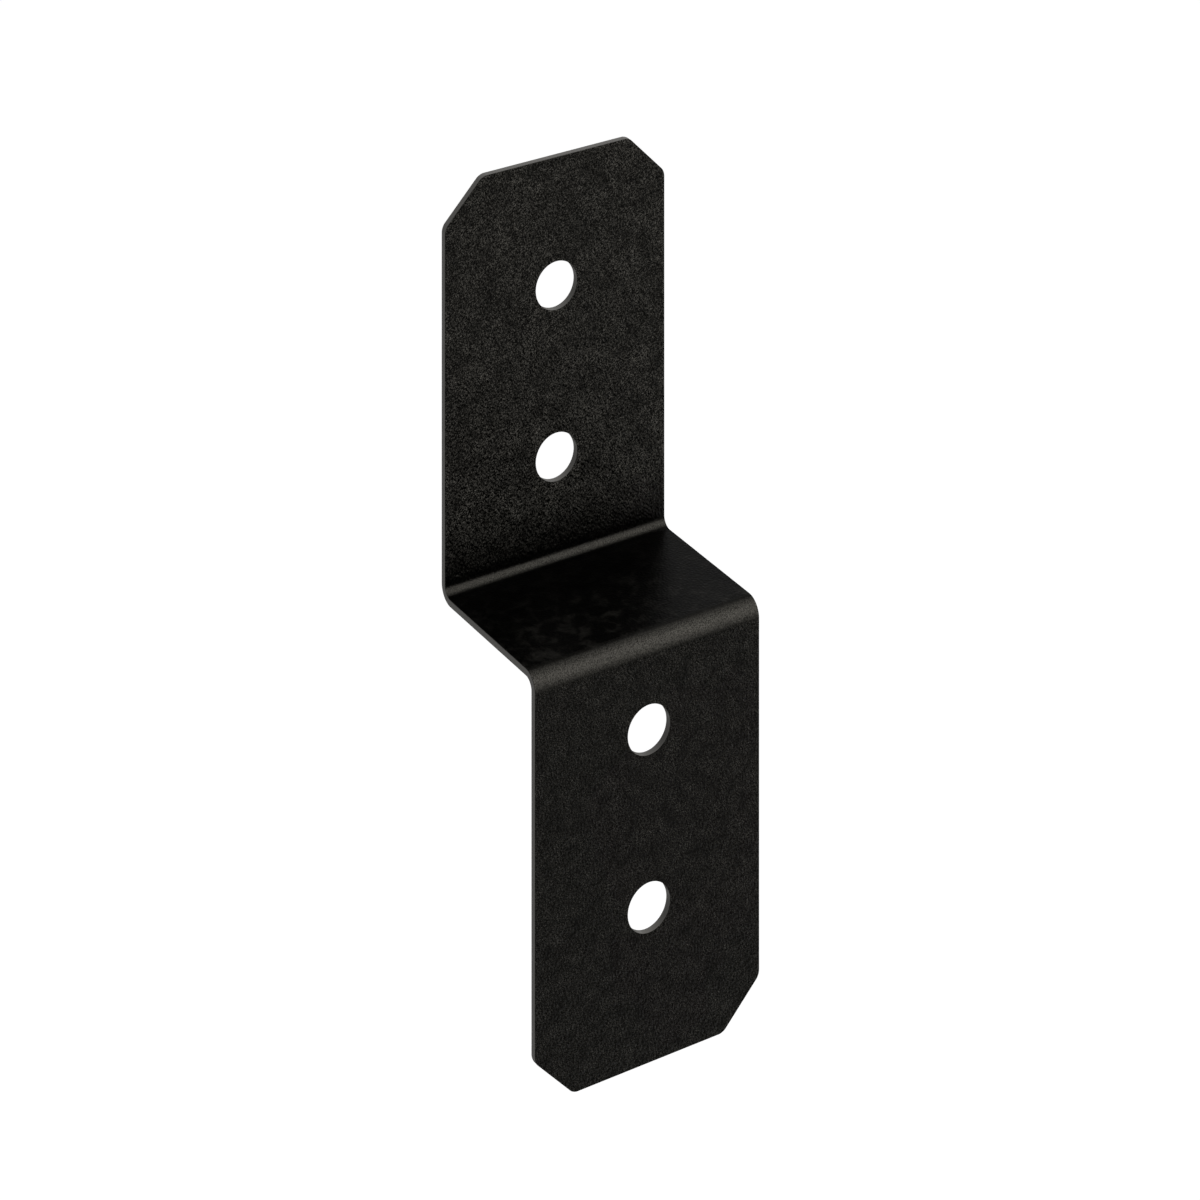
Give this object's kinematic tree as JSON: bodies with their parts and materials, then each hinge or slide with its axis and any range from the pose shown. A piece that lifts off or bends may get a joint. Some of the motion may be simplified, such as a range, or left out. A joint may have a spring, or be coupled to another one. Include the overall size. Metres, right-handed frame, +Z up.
{
  "type": "deck joist tie",
  "caption": "Z-shaped strip of black coated sheet steel with cropped corners and round holes, which ties a deck joist to the face of a post.",
  "frame": {"origin": "on the face that bears on the post, midway between the two post holes", "axes": "+Z up along the flanges, +Y from the post flange into the post, X across the strip"},
  "size_m": [0.0762, 0.0529, 0.2409],
  "materials": {
    "black_coat": "black powder coat over galvanised sheet steel, matt, with a fine sandy texture"
  },
  "bodies": {
    "root": {"joist_tie": "black_coat"}
  },
  "joints": []
}
